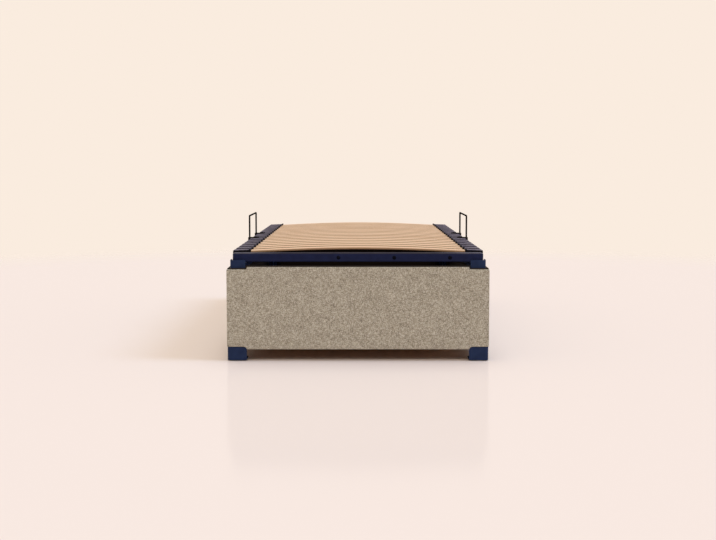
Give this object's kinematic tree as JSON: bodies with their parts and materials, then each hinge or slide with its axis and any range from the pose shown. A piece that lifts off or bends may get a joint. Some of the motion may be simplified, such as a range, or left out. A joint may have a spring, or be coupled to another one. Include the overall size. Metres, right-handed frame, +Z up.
{
  "type": "storage bed base",
  "caption": "Upholstered single bed base with a hinged slatted steel deck that lifts on gas struts over a storage compartment; wire mattress hoops at the sides.",
  "frame": {"origin": "on the floor under the middle of the bed", "axes": "+Z up, +Y towards the head end where the deck is hinged, +X to the right seen from the foot end"},
  "size_m": [0.941, 2.04, 0.493],
  "materials": {
    "upholstery": "heathered beige woven cloth",
    "panel_board": "dark brown stained panel board",
    "navy_steel": "navy powder coat, satin",
    "glide_plastic": "black moulded plastic",
    "floor_board": "dark hardboard",
    "plated_steel": "zinc plated",
    "dark_bolt": "dark blue-black paint",
    "pad_rubber": "black rubber",
    "slat_wood": "light beech veneer, satin lacquer",
    "holder_plastic": "dark grey-violet moulded plastic",
    "black_wire": "black powder coat",
    "strut_paint": "black gloss paint",
    "strut_chrome": "hard chrome"
  },
  "bodies": {
    "box": {"foot_cover": "upholstery", "head_cover": "upholstery", "left_cover": "upholstery", "right_cover": "upholstery", "foot_board": "panel_board", "head_board": "panel_board", "left_board": "panel_board", "right_board": "panel_board", "front_left_post": "navy_steel", "front_right_post": "navy_steel", "rear_left_post": "navy_steel", "rear_right_post": "navy_steel", "corner_feet": "navy_steel", "upper_rails": "navy_steel", "lower_rails": "navy_steel", "floor_bearers": "navy_steel", "strut_plates": "navy_steel", "foot_glides": "glide_plastic", "hinge_washers": "glide_plastic", "floor_boards": "floor_board", "hinge_pins": "plated_steel", "hinge_nuts": "plated_steel", "panel_screws": "plated_steel", "frame_bolts": "plated_steel", "deck_rest_pads": "pad_rubber"},
    "deck": {"deck_foot_rail": "navy_steel", "deck_head_rail": "navy_steel", "deck_left_rail": "navy_steel", "deck_right_rail": "navy_steel", "deck_cross_tubes": "navy_steel", "slat_01": "slat_wood", "slat_02": "slat_wood", "slat_03": "slat_wood", "slat_04": "slat_wood", "slat_05": "slat_wood", "slat_06": "slat_wood", "slat_07": "slat_wood", "slat_08": "slat_wood", "slat_09": "slat_wood", "slat_10": "slat_wood", "slat_11": "slat_wood", "slat_12": "slat_wood", "slat_13": "slat_wood", "slat_14": "slat_wood", "slat_15": "slat_wood", "slat_16": "slat_wood", "slat_17": "slat_wood", "slat_18": "slat_wood", "left_slat_holders": "holder_plastic", "right_slat_holders": "holder_plastic", "left_mattress_hoop": "black_wire", "right_mattress_hoop": "black_wire", "hoop_clamps": "black_wire", "hinge_bushes": "glide_plastic", "upper_strut_studs": "plated_steel", "deck_bolts": "dark_bolt"},
    "left_strut_cylinder": {"left_strut_cylinder": "strut_paint"},
    "right_strut_cylinder": {"right_strut_cylinder": "strut_paint"},
    "left_strut_rod": {"left_strut_rod": "strut_chrome"},
    "right_strut_rod": {"right_strut_rod": "strut_chrome"}
  },
  "joints": [
    {"name": "deck_lift", "type": "hinge", "parent": "box", "child": "deck", "pos_m": [0, 0.985, 0.371], "axis": [-1, 0, 0], "range_deg": [0, 45]},
    {"name": "left_strut_cylinder_turn", "type": "hinge", "parent": "box", "child": "left_strut_cylinder", "pos_m": [-0.396, 0.8175, 0.103], "axis": [-1, 0, 0], "range_deg": [0, 22.5]},
    {"name": "left_strut_rod_turn", "type": "hinge", "parent": "deck", "child": "left_strut_rod", "pos_m": [-0.396, 0.66896, 0.371], "axis": [-1, 0, 0], "range_deg": [-22.5, 0]},
    {"name": "right_strut_cylinder_turn", "type": "hinge", "parent": "box", "child": "right_strut_cylinder", "pos_m": [0.396, 0.8175, 0.103], "axis": [-1, 0, 0], "range_deg": [0, 22.5]},
    {"name": "right_strut_rod_turn", "type": "hinge", "parent": "deck", "child": "right_strut_rod", "pos_m": [0.396, 0.66896, 0.371], "axis": [-1, 0, 0], "range_deg": [-22.5, 0]}
  ],
  "couplings": [
    {"joint": "left_strut_cylinder_turn", "follows": "deck_lift", "ratio": 0.5},
    {"joint": "left_strut_rod_turn", "follows": "deck_lift", "ratio": -0.5},
    {"joint": "right_strut_cylinder_turn", "follows": "deck_lift", "ratio": 0.5},
    {"joint": "right_strut_rod_turn", "follows": "deck_lift", "ratio": -0.5}
  ]
}
